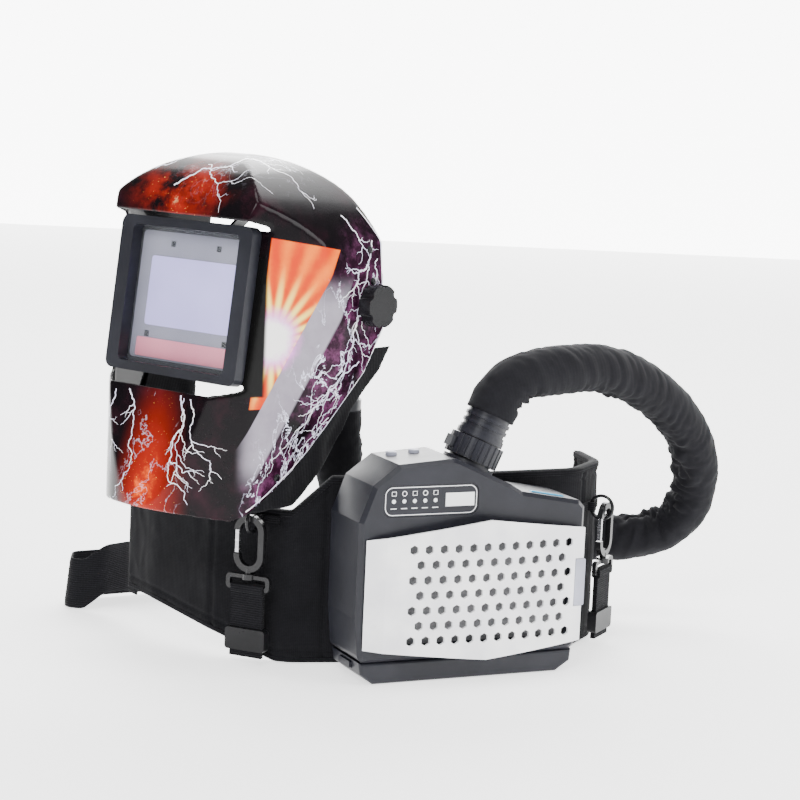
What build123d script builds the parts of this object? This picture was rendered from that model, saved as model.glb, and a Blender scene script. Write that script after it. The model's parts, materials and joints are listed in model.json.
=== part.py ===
"""Powered air respirator: belt blower, breathing hose and welding helmet, in millimetres, +Z up."""

from build123d import *
from math import cos, sin, radians, tan
import os

os.makedirs("parts", exist_ok=True)

# ---- driving dimensions ----
WALL = 3.0  # moulded casing wall
# blower, seen from the front: X across, Z up, front towards -Y
LEFT, RIGHT = -124.0, 98.0
BATTERY_TOP = 20.0
CASE_BOTTOM = 20.5
FRONT_Y, SEAM_Y, BACK_Y = -34.0, -4.0, 34.0
HUMP_TOP = 198.0
SHOULDER = 160.0
PANEL, PANEL_DEEP = (-57.0, 164.0), 1.6  # X, Z middle of the recess for the controls
PANEL_W, PANEL_H = 92.0, 28.0
COVER_MID = (-12.0, 83.0)  # X, Z middle of the filter cover
COVER_W, COVER_H = 212.0, 116.0
COVER_THICK = 2.6
HEX_PITCH, HEX_ROW, HEX_R = 14.0, 13.6, 4.4
FAN_C = (-30.0, 84.0)  # X, Z of the fan axis
FAN_R, FAN_DEEP = 42.0, 18.0
# outlet and hose
OUTLET = (-6.0, 2.0, 187.6)
OUTLET_DIR = (0.408, 0.0, 0.913)
BORE_R = 16.5
HOSE_R = 23.0
# belt
PAD_TOP, PAD_BACK_TOP, PAD_THICK = 140.0, 172.0, 10.0
PAD_PATH = [
    (181, 140), (172, 82), (128, 46), (40, 44), (-90, 44),
    (-152, 60), (-200, 116), (-230, 190), (-240, 245),
]
WEB_LOW, WEB_H, WEB_T = 2.0, 48.0, 2.4
WEB_RISE = 26.0  # the left webbing climbs this far to the end of the pad
SLOPE_END = (-270.0, 293.64)
WEBBING_PATHS = [
    (30, [(182.0, 146.5), (190, 225), (150, 305), (60, 345), (8, 345)]),
    (14, [(-240, 251), (-252, 286), (-285, 300), (-272, 336), (-180, 345), (-66, 345)]),
]
STRAP_W = 32.0
# helmet: its own frame has X across, -Y to the front and its origin on the pivot axis
PIVOT = (-144.0, 141.0, 328.0)
YAW = -64.0
HALF_W = 115.0
SHELL = 3.0
LENS_Z, LENS_Y, LENS_TILT = -1.0, -112.0, 7.7
FRAME_W, FRAME_H = 160.0, 138.0
GLASS_W, GLASS_H = 134.0, 124.0
BAND_A, BAND_B, BAND_H = 72.0, 80.0, 24.0

HELMET = Plane(
    origin=PIVOT,
    x_dir=(cos(radians(YAW)), sin(radians(YAW)), 0),
    z_dir=(0, 0, 1),
)


def inside(base, origin, x_dir, z_dir):
    """A plane given in the local axes of another plane."""
    zero = base.from_local_coords(Vector(0, 0, 0))
    return Plane(
        origin=base.from_local_coords(Vector(*origin)),
        x_dir=base.from_local_coords(Vector(*x_dir)) - zero,
        z_dir=base.from_local_coords(Vector(*z_dir)) - zero,
    )


def save(builder, name):
    builder.part.label = name
    export_step(builder.part, f"parts/{name}.step")


def face_at(y):
    """The upright plane that looks to the front, at this Y."""
    return Plane(origin=(0, y, 0), x_dir=(1, 0, 0), z_dir=(0, -1, 0))


# ---- blower casing ----
def casing_outline(bottom=CASE_BOTTOM):
    """Outline of the casing from the front: a hump on the left falls to a shoulder."""
    with BuildSketch(mode=Mode.PRIVATE) as outline:
        with BuildLine():
            Polyline(
                (LEFT + 4, bottom), (RIGHT - 4, bottom), (RIGHT, 60), (RIGHT, SHOULDER - 8),
                (RIGHT - 6, SHOULDER - 2), (34, 168), (22, 175), (-34, HUMP_TOP + 2), (-88, HUMP_TOP - 2),
                (-112, 178), (LEFT, 146), (LEFT, 60), close=True,
            )
        make_face()
        fillet(outline.vertices().group_by(Axis.Y)[-1], 12)
        fillet(outline.vertices().group_by(Axis.Y)[0], 8)
    return outline.sketch


def half_casing(front, back, open_side, name):
    outline = casing_outline()
    with BuildPart() as half:
        with BuildSketch(face_at(front)):
            add(outline)
        extrude(amount=-(back - front))
        lip = half.faces().sort_by(Axis.Y)[0 if open_side > 0 else -1]
        chamfer(lip.outer_wire().edges(), 3.5)
        with BuildSketch(face_at(front + (WALL if open_side > 0 else 0))):
            offset(outline, -WALL - 1.5)
        extrude(amount=-(back - front - WALL), mode=Mode.SUBTRACT)
        if open_side > 0:
            with BuildSketch(face_at(front)):
                with Locations(COVER_MID):
                    RectangleRounded(COVER_W - 22, COVER_H - 20, 6)
            extrude(amount=-WALL, mode=Mode.SUBTRACT)
            with BuildSketch(face_at(front)):
                with Locations(PANEL):
                    RectangleRounded(PANEL_W, PANEL_H, 8)
            extrude(amount=-PANEL_DEEP, mode=Mode.SUBTRACT)
        else:
            with BuildSketch(face_at(back)):
                with Locations((LEFT + 16, 40), (RIGHT - 16, 40), (LEFT + 16, 130), (RIGHT - 16, 130)):
                    Circle(1.6)
            extrude(amount=WALL, mode=Mode.SUBTRACT)
        outlet = Plane(origin=OUTLET, x_dir=(0, 1, 0), z_dir=OUTLET_DIR)
        with BuildSketch(outlet.offset(-12)):
            Circle(BORE_R)
        extrude(amount=24, mode=Mode.SUBTRACT)
        for x, z in BUTTONS:
            with BuildSketch(Plane.XY.offset(z - 8)):
                with Locations((x, BUTTON_Y)):
                    Circle(BUTTON_R + 0.3)
            extrude(amount=16, mode=Mode.SUBTRACT)
    save(half, name)


BUTTON_Y, BUTTON_R = 14.0, 5.0
BUTTONS = [(-76.0, 197.5), (-54.0, 199.0)]
half_casing(FRONT_Y, SEAM_Y, 1, "front_housing")
half_casing(SEAM_Y, BACK_Y, -1, "rear_housing")

# ---- buttons on the top of the hump ----
for (x, z), name in zip(BUTTONS, ("power_button", "flow_button")):
    with BuildPart() as button:
        with BuildSketch(Plane.XY.offset(z - 7)):
            with Locations((x, BUTTON_Y)):
                Circle(BUTTON_R)
        extrude(amount=9.5)
        chamfer(button.faces().sort_by(Axis.Z)[-1].edges(), 0.8)
    save(button, name)

# ---- control panel on the front of the hump ----
def panel_openings(clear):
    """Display window and the row of indicator lights."""
    with Locations((PANEL[0] + 28, PANEL[1])):
        Rectangle(28 + clear, 12 + clear)
    with Locations(*[(PANEL[0] - 36 + 10 * k, PANEL[1]) for k in range(5)]):
        Circle(1.8 + clear / 2)


with BuildPart() as control_panel:
    with BuildSketch(face_at(FRONT_Y + PANEL_DEEP)):
        with Locations(PANEL):
            RectangleRounded(PANEL_W - 0.6, PANEL_H - 0.6, 8)
    extrude(amount=1.2)
    with BuildSketch(face_at(FRONT_Y + 0.4)):
        panel_openings(0.4)
    extrude(amount=-0.8, mode=Mode.SUBTRACT)
save(control_panel, "control_panel")

with BuildPart() as display_window:
    with BuildSketch(face_at(FRONT_Y + 1.2)):
        with Locations((PANEL[0] + 28, PANEL[1])):
            Rectangle(28, 12)
    extrude(amount=1.0)
save(display_window, "display_window")

with BuildPart() as indicator_lights:
    with BuildSketch(face_at(FRONT_Y + 1.2)):
        with Locations(*[(PANEL[0] - 36 + 10 * k, PANEL[1]) for k in range(5)]):
            Circle(1.8)
    extrude(amount=1.0)
save(indicator_lights, "indicator_lights")

# ---- filter cover: a bowed white grille, hinged on its left edge ----
HALF = COVER_W / 2
with BuildPart() as filter_cover:
    with BuildSketch(Plane.XY.offset(COVER_MID[1] - 70)):
        with BuildLine():
            x0, x1 = COVER_MID[0] - HALF, COVER_MID[0] + HALF
            ThreePointArc((x0 + 16, -43.5), (COVER_MID[0] + 8, -50), (x1, -42))
            Line((x1, -42), (x1, -42 + COVER_THICK))
            ThreePointArc(
                (x1, -42 + COVER_THICK), (COVER_MID[0] + 8, -50 + COVER_THICK), (x0 + 17, -43.5 + COVER_THICK)
            )
            Line((x0 + 17, -43.5 + COVER_THICK), (x0 + 2.2, -35.5))
            Line((x0 + 2.2, -35.5), (x0, -35.5))
            Line((x0, -35.5), (x0 + 16, -43.5))
        make_face()
    extrude(amount=140)
    with BuildSketch(face_at(-60)):
        with BuildLine():
            low, high = COVER_MID[1] - COVER_H / 2, COVER_MID[1] + COVER_H / 2
            Polyline(
                (x0, low + 8), (COVER_MID[0] + 8, low - 4), (x1, low + 6), (x1 + 3, COVER_MID[1]),
                (x1, high - 6), (COVER_MID[0] + 8, high + 6), (x0, high - 10), close=True,
            )
        make_face()
    extrude(amount=-40, mode=Mode.INTERSECT)
    with BuildSketch(face_at(-60)):
        for row in range(7):
            count = 12 if row % 2 == 0 else 11
            with Locations((COVER_MID[0] + 12, COVER_MID[1] - 1 + (row - 3) * HEX_ROW)):
                with GridLocations(HEX_PITCH, 1, count, 1):
                    RegularPolygon(HEX_R, 6, rotation=30)
    extrude(amount=-30, mode=Mode.SUBTRACT)
    with BuildSketch(face_at(-60)):
        with Locations((x1 - 3, COVER_MID[1] + 2)):
            Rectangle(12, 44)
    extrude(amount=-40, mode=Mode.SUBTRACT)
save(filter_cover, "filter_cover")

with BuildPart() as cover_latch:
    with BuildSketch(face_at(-43.2)):
        with Locations((x1 - 3.4, COVER_MID[1] + 2)):
            RectangleRounded(10, 43, 1.5)
    extrude(amount=-4.4)
save(cover_latch, "cover_latch")

# ---- filter stack behind the cover ----
with BuildPart() as spark_screen:
    with BuildSketch(face_at(-30.6)):
        with Locations(COVER_MID):
            Rectangle(196, 100)
    extrude(amount=-1.0)
save(spark_screen, "spark_screen")

PLEATS = 24
with BuildPart() as particle_filter:
    with BuildSketch(Plane.XY.offset(COVER_MID[1] - 48)):
        with BuildLine():
            step = 184.0 / PLEATS
            tops = []
            for k in range(PLEATS):
                tops.append((COVER_MID[0] - 92 + k * step, -26.6))
                tops.append((COVER_MID[0] - 92 + (k + 0.5) * step, -20.6))
            tops.append((COVER_MID[0] + 92, -26.6))
            Polyline(*tops, (COVER_MID[0] + 92, -9), (COVER_MID[0] - 92, -9), close=True)
        make_face()
    extrude(amount=96)
save(particle_filter, "particle_filter")

with BuildPart() as filter_frame:
    with BuildSketch(face_at(-29.4)):
        with Locations(COVER_MID):
            Rectangle(196, 104)
            Rectangle(184.6, 96.6, mode=Mode.SUBTRACT)
    extrude(amount=-21.4)
save(filter_frame, "filter_frame")

# ---- fan ----
with BuildPart() as fan_volute:
    with BuildSketch(face_at(-3)):
        with Locations(FAN_C):
            Circle(FAN_R + 10)
        with Locations((FAN_C[0] + 30, FAN_C[1] + 30)):
            Rectangle(44, 62)
        with Locations(FAN_C):
            Circle(FAN_R + 3, mode=Mode.SUBTRACT)
    extrude(amount=-26)
    with BuildSketch(face_at(23)):
        with Locations(FAN_C):
            Circle(FAN_R + 6)
            Circle(19, mode=Mode.SUBTRACT)
    extrude(amount=-2)
save(fan_volute, "fan_volute")

with BuildPart() as impeller:
    with BuildSketch(face_at(0)):
        with Locations(FAN_C):
            Circle(FAN_R)
            Circle(4.03, mode=Mode.SUBTRACT)
    extrude(amount=-2)
    with BuildSketch(face_at(2)):
        with Locations(FAN_C):
            with PolarLocations(31, 18):
                Rectangle(18, 1.6, rotation=30)
            Circle(14)
            Circle(4.03, mode=Mode.SUBTRACT)
    extrude(amount=-FAN_DEEP)
    with BuildSketch(face_at(2 + FAN_DEEP)):
        with Locations(FAN_C):
            Circle(FAN_R)
            Circle(24, mode=Mode.SUBTRACT)
    extrude(amount=1.0)
save(impeller, "impeller")

with BuildPart() as motor:
    with BuildSketch(face_at(21)):
        with Locations(FAN_C):
            Circle(18)
    extrude(amount=-8.4)
    with BuildSketch(face_at(21)):
        with Locations(FAN_C):
            Circle(4)
    extrude(amount=21)
save(motor, "motor")

with BuildPart() as control_board:
    with BuildSketch(face_at(6)):
        with Locations((-62, 168)):
            Rectangle(70, 16)
    extrude(amount=-1.6)
    with BuildSketch(face_at(7.6)):
        with Locations((-84, 168), (-66, 170), (-46, 167)):
            Rectangle(9, 6)
    extrude(amount=-2)
save(control_board, "control_board")

# ---- battery under the casing, slides out to the left ----
with BuildPart() as battery_pack:
    with BuildSketch(face_at(-31)):
        with BuildLine():
            Polyline(
                (LEFT + 6, BATTERY_TOP), (LEFT + 8, 9), (LEFT + 20, 0),
                (RIGHT - 20, 0), (RIGHT - 6, 9), (RIGHT - 5, BATTERY_TOP), close=True,
            )
        make_face()
    extrude(amount=-62)
    fillet(battery_pack.edges().filter_by(Axis.Z, reverse=True).group_by(Axis.Y)[0], 3)
    with BuildSketch(Plane(origin=(LEFT + 3.5, 0, 0), x_dir=(0, 1, 0), z_dir=(1, 0, 0))):
        with Locations((0, 14.5)):
            Rectangle(24.6, 6.6)
    extrude(amount=9, mode=Mode.SUBTRACT)
save(battery_pack, "battery_pack")

with BuildPart() as battery_latch:
    with BuildSketch(Plane(origin=(LEFT + 4.5, 0, 0), x_dir=(0, 1, 0), z_dir=(1, 0, 0))):
        with Locations((0, 14.5)):
            RectangleRounded(24, 6, 1.5)
    extrude(amount=5)
save(battery_latch, "battery_latch")

# ---- outlet and the fittings on the hose ----
AXIS = Plane(origin=OUTLET, x_dir=(0, 1, 0), z_dir=OUTLET_DIR)


def sleeve(name, base, rings):
    """Round sleeve of stacked rings, each from, to, outer and inner radius."""
    with BuildPart() as stack:
        for start, end, outer, inner in rings:
            with BuildSketch(base.offset(start)):
                Circle(outer)
                Circle(inner, mode=Mode.SUBTRACT)
            extrude(amount=end - start)
    save(stack, name)
    return stack


sleeve("outlet_collar", AXIS, [(0, 3, 24, BORE_R), (3, 25, 19.5, BORE_R)])
with BuildPart() as hose_lock_ring:
    with BuildSketch(AXIS.offset(5)):
        Circle(25)
        Circle(19.55, mode=Mode.SUBTRACT)
        with PolarLocations(25.4, 24):
            Circle(1.4, mode=Mode.SUBTRACT)
    extrude(amount=19)
    with BuildSketch(AXIS.offset(9)):
        with Locations((0, 25.5)):
            Rectangle(12, 5)
    extrude(amount=10)
save(hose_lock_ring, "hose_lock_ring")

CUFF_END = 49.2
sleeve(
    "blower_hose_cuff", AXIS,
    [(25, 30, 22, BORE_R)] + [(30 + 6.4 * k, 33.2 + 6.4 * k, 21.0, BORE_R) for k in range(3)]
    + [(33.2 + 6.4 * k, 36.4 + 6.4 * k, 19.6, BORE_R) for k in range(3)],
)
HOSE_START = tuple(o + CUFF_END * d for o, d in zip(OUTLET, OUTLET_DIR))

# ---- helmet air duct and hose end ----
DUCT = (20.0, 74.0)  # across and behind the pivot, in the helmet's frame
DUCT_LOW, DUCT_TOP = -92.0, -40.0
DUCT_BASE = HELMET.from_local_coords(Vector(DUCT[0], DUCT[1], DUCT_LOW))
UP = Plane(origin=DUCT_BASE, x_dir=(1, 0, 0), z_dir=(0, 0, 1))
sleeve("helmet_hose_cuff", UP, [(-20, -10, 22, BORE_R), (-10, 0, 20, BORE_R)])
sleeve("duct_clamp", UP, [(1, 9, 23.5, 20.15)])
with BuildPart() as air_duct:
    with BuildSketch(UP):
        Circle(20)
        Circle(BORE_R, mode=Mode.SUBTRACT)
    extrude(amount=DUCT_TOP - DUCT_LOW)
    with BuildSketch(UP.offset(DUCT_TOP - DUCT_LOW)):
        Circle(20)
    extrude(amount=3)
    with BuildSketch(inside(HELMET, (DUCT[0], DUCT[1] - 15, -52), (1, 0, 0), (0, -1, 0))):
        RectangleRounded(30, 20, 4)
        RectangleRounded(26, 16, 3, mode=Mode.SUBTRACT)
    extrude(amount=36)
    with BuildSketch(inside(HELMET, (DUCT[0], DUCT[1] - 40, -44), (1, 0, 0), (0, -1, 0))):
        with Locations((0, 14)):
            Rectangle(18, 24)
    extrude(amount=3)
save(air_duct, "air_duct")

# ---- breathing hose in its fabric sleeve ----
HOSE_END = HELMET.from_local_coords(Vector(DUCT[0], DUCT[1], DUCT_LOW - 20))
HOSE_ROUTE = [
    HOSE_START,
    tuple(o + (CUFF_END + 33) * d for o, d in zip(OUTLET, OUTLET_DIR)),
    (76, 12, 270), (142, 36, 270), (208, 58, 249), (268, 84, 208), (300, 104, 158), (306, 126, 108),
    (276, 150, 78), (200, 176, 76), (112, 198, 68), (34, 206, 72), (-34, 192, 104),
    (HOSE_END.X, HOSE_END.Y, 160),
    (HOSE_END.X, HOSE_END.Y, HOSE_END.Z),
]


def corner_radii(route):
    points = [Vector(*p) for p in route]
    radii = []
    for before, here, after in zip(points, points[1:], points[2:]):
        turn = (here - before).get_angle(after - here)
        shorter = min((here - before).length, (after - here).length)
        radii.append(0.45 * shorter / tan(radians(turn / 2)))
    return radii


radii = corner_radii(HOSE_ROUTE)
print("hose radii:", [round(r) for r in radii])
with BuildPart() as breathing_hose:
    with BuildLine() as hose_line:
        FilletPolyline(*HOSE_ROUTE, radius=radii)
    with BuildSketch(Plane(origin=HOSE_START, z_dir=hose_line.wires()[0] % 0)):
        Circle(HOSE_R)
    sweep(path=hose_line.wires()[0])
hose_length = hose_line.wires()[0].length
section = 3.14159265 * HOSE_R**2 * hose_length
print("hose length", round(hose_length), "volume ratio", round(breathing_hose.part.volume / section, 4))
save(breathing_hose, "breathing_hose")

# ---- belt ----
with BuildPart() as belt_plate:
    with BuildSketch(face_at(BACK_Y)):
        with Locations((-13, 90)):
            RectangleRounded(150, 90, 8)
            with GridLocations(90, 50, 2, 2):
                RectangleRounded(16, 26, 3, mode=Mode.SUBTRACT)
    extrude(amount=-4.6)
save(belt_plate, "belt_plate")


def ribbon(paths, thick, low, high):
    """Upright bands, each along a path on the ground plan with its corner radius."""
    with BuildPart() as band:
        for radius, path in paths:
            with BuildSketch(Plane.XY.offset(low)):
                with BuildLine() as middle:
                    FilletPolyline(*path, radius=radius)
                trace(middle.edges(), thick)
            extrude(amount=high - low)
    return band


def trimmed(band, outlines, near, far, name):
    """Cuts X-Z outlines out of a band between two Y values and saves it."""
    with BuildPart() as cut_band:
        add(band.part)
        for outline in outlines:
            with BuildSketch(face_at(near)):
                Polygon(*outline, align=None)
            extrude(amount=-(far - near), mode=Mode.SUBTRACT)
    save(cut_band, name)


trimmed(
    ribbon([(24, PAD_PATH)], PAD_THICK, 0, PAD_BACK_TOP),
    [
        [(-116, 173), (-150, PAD_TOP), (-270, PAD_TOP), (-270, 173)],
        [(-158, -1), (-200, 20), (-232, 34), (-270, 34), (-270, -1)],
    ],
    20, 260, "belt_pad",
)
webbing = ribbon(WEBBING_PATHS, WEB_T, WEB_LOW, WEB_LOW + WEB_H)
with BuildPart() as sloped_webbing:
    add(webbing.part)
    add(ribbon([(14, WEBBING_PATHS[1][1][:2] + [SLOPE_END])], WEB_T, WEB_LOW, WEB_LOW + WEB_H + WEB_RISE).part)
trimmed(
    sloped_webbing,
    [
        [(-271, 50), (-270, 50), (-240, 50 + WEB_RISE), (-230, 50 + WEB_RISE), (-230, 90), (-271, 90)],
        [(-270, WEB_LOW), (-240, WEB_LOW + WEB_RISE), (-230, WEB_LOW + WEB_RISE), (-230, 1), (-270, 1)],
    ],
    240, 303, "belt_webbing",
)

# ---- side-release buckle on the webbing ----
with BuildPart() as buckle_socket:
    with BuildSketch(Plane.XY.offset(0)):
        with Locations((-38, 345)):
            RectangleRounded(54, 16, 4)
    extrude(amount=54)
    with BuildSketch(Plane(origin=(-11, 345, 27), x_dir=(0, 1, 0), z_dir=(-1, 0, 0))):
        Rectangle(9, 40)
    extrude(amount=34, mode=Mode.SUBTRACT)
    with BuildSketch(Plane(origin=(-66, 345, 27), x_dir=(0, 1, 0), z_dir=(1, 0, 0))):
        Rectangle(3, 49)
    extrude(amount=14, mode=Mode.SUBTRACT)
save(buckle_socket, "buckle_socket")

with BuildPart() as buckle_plug:
    with BuildSketch(Plane.XY.offset(2)):
        with Locations((0, 345)):
            RectangleRounded(20, 14, 3)
    extrude(amount=50)
    with BuildSketch(Plane(origin=(-9, 345, 27), x_dir=(0, 1, 0), z_dir=(-1, 0, 0))):
        with Locations((0, 12), (0, -12), (0, 0)):
            Rectangle(6, 8)
    extrude(amount=28)
    with BuildSketch(Plane(origin=(12, 345, 27), x_dir=(0, 1, 0), z_dir=(-1, 0, 0))):
        Rectangle(3, 51)
    extrude(amount=8, mode=Mode.SUBTRACT)
save(buckle_plug, "buckle_plug")


# ---- snap hooks with their rings and straps ----
def snap_hook(side, base):
    """Local axes: X along the belt, Y into the pad, Z up, origin at the ring."""
    flat = inside(base, (0, 0, 0), (1, 0, 0), (0, -1, 0))
    with BuildPart() as hook:
        with BuildSketch(flat.offset(-2.6)):
            with Locations((0, -20.5)):
                SlotOverall(52, 30, rotation=90)
                SlotOverall(40.6, 18.6, rotation=90, mode=Mode.SUBTRACT)
            with Locations((-12.3, -19.5)):
                Rectangle(6.8, 22, mode=Mode.SUBTRACT)
        extrude(amount=5.2)
        with BuildSketch(inside(base, (0, 0, -52), (1, 0, 0), (0, 0, 1))):
            Circle(3.0)
        extrude(amount=8.5)
    save(hook, f"{side}_hook")

    with BuildPart() as gate:
        with BuildSketch(flat.offset(-1.8)):
            with Locations((-12.2, -19.3)):
                Rectangle(3.4, 20.6)
        extrude(amount=3.6)
    save(gate, f"{side}_hook_gate")

    with BuildPart() as swivel:
        with BuildSketch(flat.offset(-2)):
            with Locations((0, -56)):
                RectangleRounded(STRAP_W + 12, 14, 4)
                RectangleRounded(STRAP_W + 4, 7, 2, mode=Mode.SUBTRACT)
        extrude(amount=4)
        with BuildSketch(inside(base, (0, 0, -53), (1, 0, 0), (0, 0, 1))):
            Circle(6)
            Circle(3.05, mode=Mode.SUBTRACT)
        extrude(amount=5)
        with BuildSketch(inside(base, (0, 0, -60), (1, 0, 0), (0, 0, 1))):
            Circle(3.05)
        extrude(amount=14, mode=Mode.SUBTRACT)
    save(swivel, f"{side}_swivel_eye")

    with BuildPart() as strap:
        with BuildSketch(inside(base, (-STRAP_W / 2, 0, 0), (0, 1, 0), (1, 0, 0))):
            with Locations((0, -61.2)):
                RectangleRounded(8.4, 8.4, 2.0)
            with Locations((0, -61.2)):
                Rectangle(4.4, 4.2, mode=Mode.SUBTRACT)
            with Locations((0, -94)):
                Rectangle(4.4, 60)
        extrude(amount=STRAP_W)
    save(strap, f"{side}_strap")

    with BuildPart() as slider:
        with BuildSketch(flat.offset(-4.5)):
            with Locations((0, -108)):
                RectangleRounded(STRAP_W + 8, 20, 3)
        extrude(amount=9)
        with BuildSketch(inside(base, (0, 0, -120), (1, 0, 0), (0, 0, 1))):
            Rectangle(STRAP_W + 0.2, 4.6)
        extrude(amount=24, mode=Mode.SUBTRACT)
    save(slider, f"{side}_strap_slider")

LEFT_HOOK = Plane(origin=(-187.25, 65.15, 131), x_dir=(0.651, -0.759, 0), z_dir=(0, 0, 1))
RIGHT_HOOK = Plane(origin=(164.7, 46.0, 133), x_dir=(0.774, 0.633, 0), z_dir=(0, 0, 1))
snap_hook("left", LEFT_HOOK)
snap_hook("right", RIGHT_HOOK)

with BuildPart() as belt_rings:
    for base in (LEFT_HOOK, RIGHT_HOOK):
        across = inside(base, (0, 4, 0), (0, 1, 0), (1, 0, 0))
        with BuildSketch(inside(base, (0, 15, 0), (1, 0, 0), (0, 0, 1))):
            Circle(1.6)
        revolve(axis=Axis(across.origin, across.z_dir), revolution_arc=360)
save(belt_rings, "belt_rings")

with BuildPart() as ring_tabs:
    for base in (LEFT_HOOK, RIGHT_HOOK):
        with BuildSketch(inside(base, (0, 0, -4), (1, 0, 0), (0, 0, 1))):
            with Locations((0, 14.4)):
                RectangleRounded(9, 7.4, 2)
            with Locations((0, 17.2)):
                Rectangle(40, 2)
            with Locations((0, 14.4)):
                Circle(2.5, mode=Mode.SUBTRACT)
        extrude(amount=8)
save(ring_tabs, "ring_tabs")


# ---- helmet shell ----
def helmet_solid(inset, reach):
    """Outer or inner solid of the shell: side, plan and front outlines extruded and intersected."""
    side = inside(HELMET, (150, 0, 0), (0, 1, 0), (1, 0, 0))
    front = inside(HELMET, (0, -200, 0), (1, 0, 0), (0, -1, 0))
    with BuildPart() as solid:
        with BuildSketch(side):
            with BuildLine():
                Polyline(
                    (-165 + inset, -181 - reach), (-145 + inset, -77 + inset), (-121.4 + inset, -71 + inset),
                    (-102.6 + inset, 68 - inset), (-124 + inset, 74 - inset),
                )
                ThreePointArc((-124 + inset, 74 - inset), (-58, 127 - inset), (10, 92 - inset))
                rear = [(10, 92 - inset), (24 + reach, 56), (24 + reach, -22), (-24 + reach, -96)]
                if reach:
                    rear.insert(1, (10 + reach, 92 - inset))
                Polyline(*rear)
                ThreePointArc((-24 + reach, -96), (-66 + reach, -146 - reach), (-128, -187 - reach))
                Line((-128, -187 - reach), (-165 + inset, -181 - reach))
            make_face()
        extrude(amount=-300)
        wide = HALF_W - inset
        with BuildSketch(HELMET.offset(-260)):
            with BuildLine():
                Polyline(
                    (-85 + inset, -118), (-wide, -34), (-wide, 90), (wide, 90), (wide, -34), (85 - inset, -118),
                )
                ThreePointArc((85 - inset, -118), (0, -165 + inset), (-85 + inset, -118))
            make_face()
        extrude(amount=420, mode=Mode.INTERSECT)
        with BuildSketch(front):
            with BuildLine():
                Polyline(
                    (-wide + 7, 54), (-wide, -14), (-wide, -60), (-97 + inset, -120), (-70 + inset, -260),
                    (70 - inset, -260), (97 - inset, -120), (wide, -60), (wide, -14), (wide - 7, 54),
                )
                ThreePointArc((wide - 7, 54), (0, 128 - inset), (-wide + 7, 54))
            make_face()
        extrude(amount=-400, mode=Mode.INTERSECT)
    return solid.part


LENS = inside(
    HELMET, (0, LENS_Y, LENS_Z), (1, 0, 0),
    (0, -cos(radians(LENS_TILT)), sin(radians(LENS_TILT))),
)
outer_solid = helmet_solid(0, 0)
inner_solid = helmet_solid(SHELL, 60)
with BuildPart() as helmet_shell:
    add(outer_solid)
    add(inner_solid, mode=Mode.SUBTRACT)
    with BuildSketch(LENS.offset(-20)):
        RectangleRounded(GLASS_W + 6, GLASS_H + 6, 5)
    extrude(amount=40, mode=Mode.SUBTRACT)
    with BuildSketch(inside(HELMET, (-150, 0, 0), (0, 1, 0), (1, 0, 0))):
        Circle(5.04)
    extrude(amount=300, mode=Mode.SUBTRACT)
save(helmet_shell, "helmet_shell")


def lens_layer(name, low, high, width, height, corner, hole=None, shift=0.0):
    with BuildPart() as layer:
        with BuildSketch(LENS.offset(low)):
            with Locations((0, shift)):
                RectangleRounded(width, height, corner)
                if hole:
                    RectangleRounded(*hole, mode=Mode.SUBTRACT)
        extrude(amount=high - low)
    save(layer, name)
    return layer


lens_layer("lens_frame", 0.6, 12, FRAME_W, FRAME_H, 8, (GLASS_W - 4, GLASS_H - 2, 5))
lens_layer("cover_lens", -2.4, -1.0, GLASS_W + 3, GLASS_H + 3, 4)
lens_layer("filter_housing", -12.5, -3.8, 133, 114, 4)
lens_layer("filter_window", -3.7, -3.0, 104, 62, 3, shift=4.0)
lens_layer("solar_panel", -3.7, -3.0, 118, 17, 2, shift=-47.0)
lens_layer("filter_holder", -12.5, -3.8, 144, 128, 4, (133.4, 114.4, 4))

KNOBS_IN = [(-30.0, "shade_knob"), (30.0, "sensitivity_knob")]
for x, name in KNOBS_IN:
    with BuildPart() as knob:
        with BuildSketch(LENS.offset(-12.8)):
            with Locations((x, -45)):
                Circle(8)
                with PolarLocations(8.6, 10):
                    Circle(1.3, mode=Mode.SUBTRACT)
        extrude(amount=-7)
    save(knob, name)

# ---- pivots and headgear ----
for side, way in (("left", 1), ("right", -1)):
    out = inside(HELMET, (way * (HALF_W + 0.4), 0, 0), (0, 0, 1), (way, 0, 0))
    with BuildPart() as pivot_knob:
        with BuildSketch(out):
            Circle(14)
        extrude(amount=4)
        with BuildSketch(out.offset(4)):
            Circle(19)
            with PolarLocations(20.5, 6):
                Circle(4.0, mode=Mode.SUBTRACT)
        extrude(amount=13)
        with BuildSketch(out.offset(-9.4)):
            Circle(5.0)
        extrude(amount=9.4)
        with BuildSketch(out.offset(-17)):
            Circle(3.5)
        extrude(amount=7.6)
    save(pivot_knob, f"{side}_pivot_knob")

with BuildPart() as pivot_arms:
    for way in (1, -1):
        out = inside(HELMET, (way * (HALF_W + 0.4), 0, 0), (0, 0, 1), (way, 0, 0))
        with BuildSketch(out.offset(-14.0)):
            Circle(13)
            with Locations((-2, 0)):
                Rectangle(24, 20)
            Circle(3.55, mode=Mode.SUBTRACT)
        extrude(amount=3)
        with BuildSketch(out.offset(-HALF_W - 0.4 + BAND_A + 1.6)):
            with Locations((-2, 0)):
                Rectangle(20, 16)
            Circle(4.2, mode=Mode.SUBTRACT)
        extrude(amount=HALF_W + 0.4 - BAND_A - 1.6 - 14.0)
save(pivot_arms, "pivot_arms")

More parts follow.
